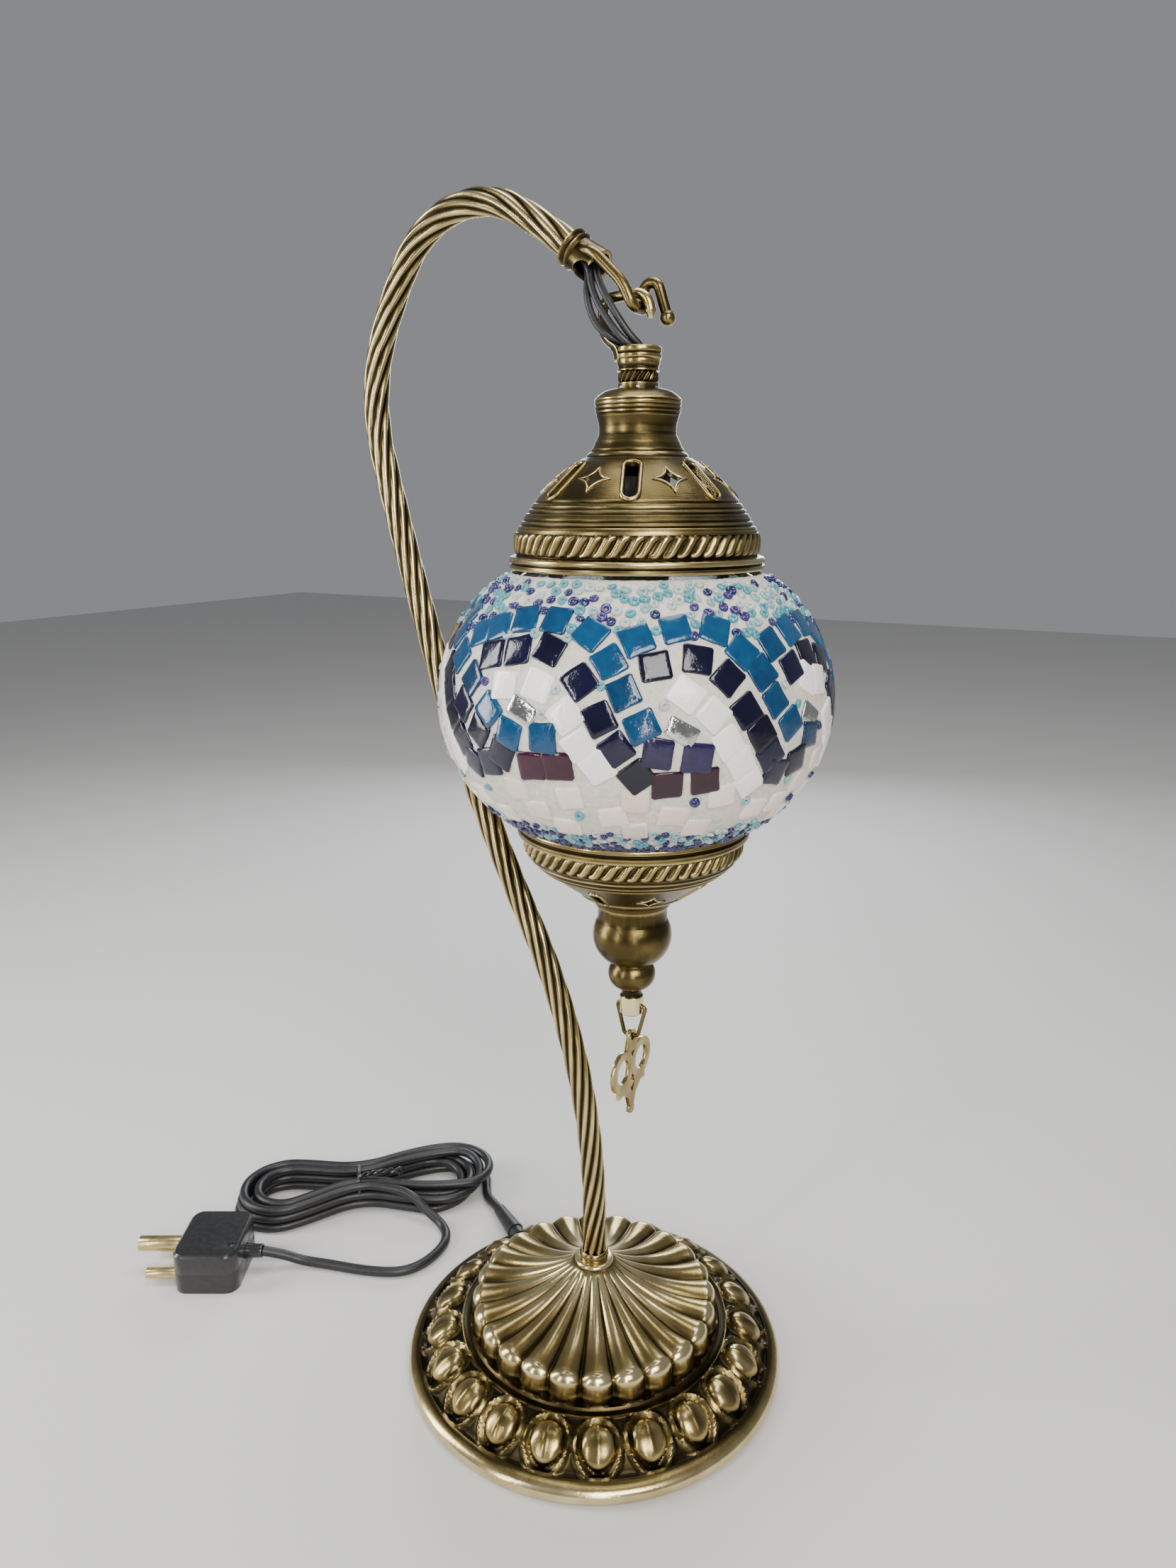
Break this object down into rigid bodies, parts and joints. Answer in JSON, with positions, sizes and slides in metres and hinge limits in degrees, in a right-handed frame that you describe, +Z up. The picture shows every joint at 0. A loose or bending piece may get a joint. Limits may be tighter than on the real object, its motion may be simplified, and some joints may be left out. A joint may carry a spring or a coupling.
{
  "type": "mosaic glass table lamp",
  "caption": "Table lamp with a round fluted brass base, a swan neck and a mosaic glass globe lantern that swings from a hook.",
  "frame": {"origin": "centre of the base's underside, on the surface that the lamp stands on", "axes": "+Z up; the swan neck bends in the XZ plane and the lantern hangs on the +X side; the mains cord leaves the base at the back, towards -X and +Y"},
  "size_m": [0.3059, 0.1674, 0.4669],
  "materials": {
    "antique_brass": "aged brass with dark patina in the recesses and bright worn ridges",
    "brass_bright": "plain bright brass",
    "steel": "plain zinc-plated steel",
    "iron": "rough cast, black painted",
    "felt": "black felt",
    "black_rubber": "satin black flexible PVC",
    "black_plastic": "moulded black plastic",
    "seal_rubber": "dark seal",
    "holder_plastic": "off-white phenolic",
    "bulb_glass": "clear",
    "clear_glass": "clear blown glass",
    "mosaic": "white grout set with blue, navy and white glass tiles and beads"
  },
  "bodies": {
    "stand": {"felt_pad": "felt", "bottom_plate": "steel", "base_weight": "iron", "base_shell": "antique_brass", "cord_boot": "black_rubber", "cord_clamp": "black_plastic", "clamp_screws": "steel", "neck_pipe": "steel", "neck_washer": "steel", "neck_nut": "steel", "foot_ring": "antique_brass", "swan_neck": "antique_brass", "inner_cable": "black_rubber", "neck_hook": "antique_brass", "cord_start": "black_rubber", "cord_hank": "black_rubber", "cord_tie": "black_plastic", "cord_tail": "black_rubber", "plug_base": "black_plastic", "plug_cover": "black_plastic", "plug_cord_grip": "black_rubber", "plug_live_pins": "brass_bright", "plug_earth_pin": "brass_bright", "plug_screw": "steel"},
    "lantern": {"hanger_hook": "antique_brass", "lead_line": "black_rubber", "lead_neutral": "black_rubber", "lead_earth": "black_rubber", "hanger_collar": "antique_brass", "collar_rope_ring": "antique_brass", "lantern_tube": "steel", "top_cap": "antique_brass", "top_rope_band": "antique_brass", "cap_nut": "steel", "top_gasket": "seal_rubber", "holder_cap": "holder_plastic", "holder_block": "holder_plastic", "globe_spider": "steel", "holder_shell": "holder_plastic", "bulb_cap": "brass_bright", "bulb_glass": "bulb_glass", "globe_clips": "steel", "globe_glass": "clear_glass", "mosaic_skin": "mosaic", "bottom_seat": "seal_rubber", "bottom_cap": "antique_brass", "bottom_rope_band": "antique_brass", "finial": "antique_brass", "finial_tip": "antique_brass", "finial_rod": "steel", "finial_nut": "steel"},
    "link": {"pendant_link": "antique_brass"},
    "charm": {"pendant_charm": "antique_brass"}
  },
  "joints": [
    {"name": "lantern_swing", "type": "hinge", "parent": "stand", "child": "lantern", "pos_m": [0.0165, 0, 0.4223], "axis": [0, -1, 0], "range_deg": [-2.5, 18], "deforming": ["lead_line", "lead_neutral", "lead_earth"]},
    {"name": "link_swing", "type": "hinge", "parent": "lantern", "child": "link", "pos_m": [0.0165, 0, 0.1685], "axis": [1, 0, 0], "range_deg": [-40, 40]},
    {"name": "charm_swing", "type": "hinge", "parent": "link", "child": "charm", "pos_m": [0.0165, 0, 0.1554], "axis": [1, 0, 0], "range_deg": [-35, 35]}
  ]
}
